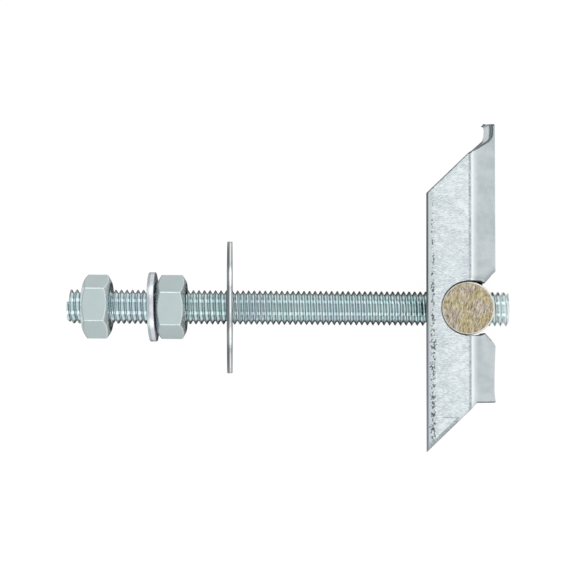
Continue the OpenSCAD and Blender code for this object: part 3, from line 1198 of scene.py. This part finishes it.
    def on_sheet(self, points: Points, loops: list[Points]) -> Points:
        """Tells which points lie within the outer outline and not in the opening."""
        return self.inside(points, loops[0]) & ~self.inside(points, loops[1])

    @staticmethod
    def distance(points: Points, loop: Points) -> Points:
        """Returns each point's distance to each of a loop's lengths.

        Args:
            points: one row each.
            loop: the loop's points.
        Returns:
            A row for each point.
        """
        along = np.roll(loop, -1, axis=0) - loop
        t = ((points[:, None, :] - loop[None]) * along[None]).sum(-1) / (along**2).sum(-1)
        nearest = loop[None] + np.clip(t, 0, 1)[..., None] * along[None]
        return np.linalg.norm(points[:, None, :] - nearest, axis=-1)

    def flat_points(self, loops: list[Points]) -> Points:
        """Returns the points to mesh inside the sheet: rings along its edges, where the roll
        needs them, and a grid that is close across the folds.

        Args:
            loops: the outer outline and the opening.
        Returns:
            The points, one row each.
        """
        sets = []
        for loop, sign in zip(loops, (1, -1)):
            ahead = np.roll(loop, -1, axis=0) - np.roll(loop, 1, axis=0)
            normal = np.stack((ahead[:, 1], -ahead[:, 0]), axis=-1)
            normal /= np.linalg.norm(normal, axis=1)[:, None]
            area = (loop[:, 0] * np.roll(loop[:, 1], -1)
                    - loop[:, 1] * np.roll(loop[:, 0], -1)).sum()
            normal *= -sign if area > 0 else sign
            sets += [(loop + normal * d, d * 0.93) for d in self.rings]
        # lines across the fold: close on the rolled strip and the bends, a grid on the wall
        ends = np.cumsum([0, *self.runs])
        across = [*self.strip_lines, *np.arange(2.4, ends[1] - 0.4, self.grid), ends[1]]
        for i, count in enumerate(self.bend_steps, 1):
            across += list(np.linspace(ends[i], ends[i + 1], count + 1))[1:]
        across = np.array(across)
        across = np.concatenate((across, self.full - across[:-1]))
        along = np.arange(self.tip_y + 0.7, self.lip_y + 1, self.grid)
        grid = np.stack(np.meshgrid(across, along, indexing="ij"), axis=-1).reshape(-1, 2)
        kept = []
        for points, clear in [*sets, (grid, self.grid_gap)]:
            points = points[self.on_sheet(points, loops)]
            gap = np.min([self.distance(points, loop).min(axis=1) for loop in loops], axis=0)
            kept.append(points[gap > clear])
        return self.thin(np.concatenate(kept), self.finest)

    @staticmethod
    def thin(points: Points, gap: float) -> Points:
        """Leaves out points that lie close to an earlier one.

        Args:
            points: one row each.
            gap: the least distance between two that are kept.
        Returns:
            The points that are kept.
        """
        seen: dict[tuple[int, int], list[int]] = {}
        kept = []
        for i, (s, v) in enumerate(points):
            cell = (int(s // gap), int(v // gap))
            near = [k for a in (-1, 0, 1) for b in (-1, 0, 1)
                    for k in seen.get((cell[0] + a, cell[1] + b), [])]
            if all(math.dist(points[k], (s, v)) > gap for k in near):
                seen.setdefault(cell, []).append(i)
                kept.append(i)
        return points[kept]

    def build(self) -> bpy.types.Object:
        """Cuts the flat sheet, folds it, gives it its thickness and rolls its edges."""
        cuts = [self.divide(path, self.rim_step) for path in (self.outline(), self.opening())]
        loops = [points for points, _ in cuts]
        edges = [edge for _, names in cuts for edge in names]
        first, count = len(loops[0]), len(edges)
        rims = [np.arange(first), np.arange(first, count)]
        points = np.concatenate((*loops, self.flat_points(loops)))
        fixed = [pair for ids in rims for pair in zip(ids.tolist(), np.roll(ids, -1).tolist())]
        out = delaunay_2d_cdt([Vector(p) for p in points], fixed, [], 0, 1e-6)
        flat, triangles = np.array([tuple(v) for v in out[0]]), np.array(out[2])
        keep = self.on_sheet(flat[triangles].mean(axis=1), loops)
        one, two = [flat[triangles[:, k]] - flat[triangles[:, 0]] for k in (1, 2)]
        keep &= np.abs(one[:, 0] * two[:, 1] - one[:, 1] * two[:, 0]) > 1e-3
        return self.folded(flat, triangles[keep], loops, rims, edges)

    # --- the folded sheet

    def drop(self, gaps: dict[Edge, Points], turn: Points) -> tuple[Points, Points]:
        """Works out what shearing did to the outer face, and the painted shade along its cut
        edges.

        Args:
            gaps: each point's distance to each kind of edge.
            turn: the face's turn from the wall's at each point.
        Returns:
            How far the face is rolled down at each point, and how strong the painted shade along
            the cut edges is there.
        """
        down, torn_and_edge_shade = np.zeros(len(turn)), np.zeros(len(turn))
        before_web = closeness(np.abs(turn) - 0.4, 0.9)
        drawn, draw_width = self.draw
        for edge, gap in gaps.items():
            width, depth, dark_line_width = edge.value
            shape = depth * closeness(gap, width) ** (1 if edge is Edge.OPEN else 2)
            if edge is Edge.NOTCH:
                shape = shape * before_web
            down = np.maximum(down, drawn * closeness(gap, draw_width) ** 2 + shape)
            torn_and_edge_shade = np.maximum(torn_and_edge_shade, closeness(gap, dark_line_width))
        return down, torn_and_edge_shade

    def dip(self, v: Points, turn: Points) -> Points:
        """Returns how far the short arm's web dips in between its two ends.

        Args:
            v: place along the wing of each point.
            turn: the face's turn from the wall's there.
        Returns:
            Its depth at each point.
        """
        start, end = -self.window_len / 2, -self.lower_reach
        shape = np.interp((v - start) / (end - start), (0, 0.14, 0.35, 0.55, 0.72, 0.87, 1),
                          (0, 0.36, 0.65, 0.85, 1, 0.8, 0))
        return self.web_dip * shape * np.clip((np.abs(turn) - 0.4) / 0.9, 0, 1)

    def folded(self, flat: Points, triangles: Points, loops: list[Points], rims: list[Points],
               edges: list[Edge]) -> bpy.types.Object:
        """Folds the flat sheet and closes it round its cut edges.

        Args:
            flat: the flat points, those of the loops first.
            triangles: the flat faces.
            loops: the outlines.
            rims: the outlines' point numbers.
            edges: the edge that follows each outline point.
        Returns:
            The wing, its cut edges set for the second finish.
        """
        u, z, turn = self.fold(flat[:, 0])
        side = np.where(flat[:, 0] <= self.half, 1, -1)
        normal = np.stack((np.sin(np.abs(turn)), np.zeros_like(u), np.cos(turn) * side), axis=-1)
        face = np.stack((u, flat[:, 1], z), axis=-1)
        face = face - normal * self.dip(flat[:, 1], turn)[:, None]
        each = np.concatenate([self.distance(flat, loop) for loop in loops], axis=1)
        gaps = {edge: each[:, np.array([one is edge for one in edges])].min(axis=1)
                for edge in Edge}
        down, torn_and_edge_shade = self.drop(gaps, turn)
        burr = self.burr[0] * closeness(each.min(axis=1), self.burr[1]) ** 2
        thick = self.sheet - self.lip_thin * closeness(gaps[Edge.LIP], self.lip_taper) - burr
        outer, inner = face - normal * down[:, None], face - normal * thick[:, None]
        count = len(flat)
        points, depth = [outer, inner], [np.zeros(count), np.ones(count)]
        faces = [*map(tuple, triangles), *(tuple(t[::-1] + count) for t in triangles)]
        smooth, start = len(faces), 2 * count
        for ids in rims:
            rows = [ids]
            for t in self.side_rows:
                points.append(outer[ids] * (1 - t) + inner[ids] * t)
                depth.append(np.full(len(ids), t))
                rows.append(np.arange(start, start + len(ids)))
                start += len(ids)
            rows.append(ids + count)
            for high, low in zip(rows, rows[1:]):
                faces += zip(high, np.roll(high, -1), np.roll(low, -1), low)
        wing = mesh_object("channel_wing_look", np.concatenate(points), faces,
                           self.bolt.at(self.bolt.barrel_x + self.look_shift,
                                        turned(self.look_turn, Axis.Z)), 38)
        rest, none = np.zeros(start - 2 * count), np.zeros(count)
        # black painted shade over the inner faces near the barrel nut, where they lie in shade
        barrel_shaded = closeness(np.hypot(u, flat[:, 1]) - self.barrel_shade_r, self.barrel_shade_blend)
        # the painted shade along the cut edges and over the inner faces round the barrel nut goes
        # on as numbers at the points
        for name, over, under in (
                ("lower_gap", gaps[Edge.LOWER], none + self.wall_reach),
                ("torn_and_edge_shade", torn_and_edge_shade, closeness(gaps[Edge.LIP], self.lip_shade_width)),
                ("notch", closeness(gaps[Edge.NOTCH], self.notch_roll), none),
                ("barrel_shaded", none, barrel_shaded)):
            note(wing, name, np.concatenate((over, under, rest)))
        note(wing, "depth", np.concatenate(depth))
        for polygon in wing.data.polygons[smooth:]:
            polygon.material_index = 1
        return wing

    def dress(self) -> None:
        """Builds and dresses the wing."""
        dress(self.build(), Slot.WING, "wing", "channel_wing", Galvanised(), ShearedEdge())


# ---------------------------------------------------------------- studio


@dataclass
class Studio:
    """White table, soft panels and a camera that looks down across the bolt."""

    bolt: BoltFrame
    aim: tuple[float, float, float] = (50.0, 4.475, 0.0)
    distance: float = 303.0
    pitch: float = 2.6
    roll: float = 0.38
    focal_px: float = 1340.0
    frame_px: float = 576.0
    # the shade under the bolt, in metres: its middle from the origin and half its length
    shade_middle: tuple[float, float, float] = (-0.009, -0.0065, 0.0)
    shade_half: tuple[float, float, float] = (0.035, 0.0, 0.0)
    # a range of distance from it, or of height in the sky, and the light at each end
    shade_light: tuple[float, ...] = (0.004, 0.032, 0.05, 0.85)
    sky_light: tuple[float, ...] = (0.72, 0.95, 0.79, 0.97)
    table_seen: float = 1.04
    table_painted: float = 0.08

    def camera(self) -> None:
        """Sets up the camera."""
        data = bpy.data.cameras.new("camera")
        data.sensor_width = 36.0
        data.lens = self.focal_px / self.frame_px * data.sensor_width
        data.clip_start, data.clip_end = 0.01, 10.0
        tip = turned(self.pitch, Axis.X) @ turned(self.roll, Axis.Z)
        aim = self.bolt.matrix() @ Matrix.Translation([a * MM for a in self.aim])
        back = Matrix.Translation((0, 0, self.distance * MM))
        bpy.context.scene.camera = put("camera", data, aim @ tip @ back)

    def panel(self, name: str, lean: float, towards: float, size: tuple[float, float],
              level: float) -> None:
        """Adds a soft panel a metre from the bolt that shines on it.

        Args:
            name: the panel's name.
            lean: its angle from overhead, in degrees.
            towards: the side it leans to, in degrees from X towards Y.
            size: its width across that lean and its height along it, in metres.
            level: how bright it looks, where white is 1.
        """
        data = bpy.data.lights.new(name, "AREA")
        data.shape = "RECTANGLE"
        data.size, data.size_y = size
        data.energy = level * math.pi * size[0] * size[1]
        put(name, data, turned(towards, Axis.Z) @ turned(lean, Axis.Y)
            @ Matrix.Translation((0, 0, 1)) @ turned(90, Axis.Z))

    def table(self) -> None:
        """Adds the white table. The camera sees it white; the metal sees it white too, but for
        a painted shade under the bolt."""
        made = bpy.data.materials.new("white table")
        made.use_nodes = True
        tree = made.node_tree
        add = partial(node, tree)
        paint = add("BsdfDiffuse", {"Color": linear("F4F4F4")})
        away = add("NewGeometry", (), "Position")
        for operation, *other in (("SUBTRACT", self.shade_middle), ("ABSOLUTE",),
                                  ("SUBTRACT", self.shade_half), ("MAXIMUM", (0, 0, 0))):
            away = add("VectorMath", (away, *other), operation=operation)
        away = add("VectorMath", (away,), "Value", operation="LENGTH")
        shaded = add("MapRange", (away, *self.shade_light), interpolation_type="SMOOTHSTEP")
        seen, mirrored = [add("LightPath", (), f"Is {kind} Ray") for kind in ("Camera", "Glossy")]
        level = add("Mix", {"Factor": seen, "A": shaded, "B": self.table_seen})
        glow = add("Emission", {"Color": (1, 1, 1, 1), "Strength": level})
        part = add("Math", (seen, 1 - self.table_painted, mirrored), operation="MULTIPLY_ADD")
        feed(tree, tree.nodes["Material Output"],
             {"Surface": add("MixShader", (part, paint, glow))})
        tree.nodes.remove(tree.nodes["Principled BSDF"])
        mesh = bpy.data.meshes.new("table")
        mesh.from_pydata([(-3, -3, 0), (3, -3, 0), (3, 3, 0), (-3, 3, 0)], [], [(0, 1, 2, 3)])
        mesh.materials.append(made)
        put("table", mesh, Matrix())

    def sky(self) -> None:
        """Sets the room's soft light, brightest overhead."""
        world = bpy.data.worlds.new("room")
        bpy.context.scene.world = world
        world.use_nodes = True
        tree = world.node_tree
        add = partial(node, tree)
        up = add("SeparateXYZ", (add("TexCoord", (), "Generated"),), "Z")
        level = add("MapRange", (up, *self.sky_light), interpolation_type="SMOOTHSTEP")
        seen = add("Math", (add("LightPath", (), "Is Camera Ray"), level), operation="MAXIMUM")
        feed(tree, tree.nodes["Background"], {"Color": (1, 1, 1, 1), "Strength": seen})

    def build(self) -> None:
        """Builds the whole studio."""
        self.camera()
        self.table()
        self.sky()
        self.panel("right_panel", 26, 0, (0.8, 0.3), 0.3)
        self.panel("left_panel", 65, 180, (1.0, 0.5), 0.6)
        self.panel("upper_panel", 53, 90, (1.4, 0.5), 1.0)
        self.panel("lower_panel", 54, -90, (1.4, 0.5), 1.0)
        bpy.context.scene.view_settings.view_transform = "Standard"


def main() -> None:
    """Builds the studio and each piece."""
    logging.basicConfig(level=logging.INFO)
    bolt = BoltFrame()
    Studio(bolt).build()
    Rod(bolt).dress()
    HexNut(bolt, "outer_nut", 3.9, -2.8, 6.2).dress()
    HexNut(bolt, "inner_nut", 20.6, 5.0, 6.5).dress()
    Washer(bolt, "flat_washer", 19.59, turned(1.6, Axis.Z), 15.65, 1.5, ZincPlate(
        "washer bright zinc plate", "CDCFD5", "C0C4C9", "CCC6D7", mark_depth=0.2,
        rub_and_highlight="E0E2EA", dull_and_shade="B4BEBE")).dress()
    Washer(bolt, "penny_washer", 36.9, turned(0.5, Axis.Z) @ turned(2.2, Axis.Y), 29.75, 1.2,
           ZincPlate("penny washer bright zinc plate", "CDD1D2", "BFC5C7", "CBC9D3",
                     roughness=0.26, cloud_mm=5.0, rub_and_highlight="FDFDFF", dull_and_shade="6C7376"),
           punch_shade_to=0.05, back_shade_from=0.5).dress()
    BarrelNut(bolt).dress()
    ChannelWing(bolt).dress()


if __name__ == "__main__":
    main()
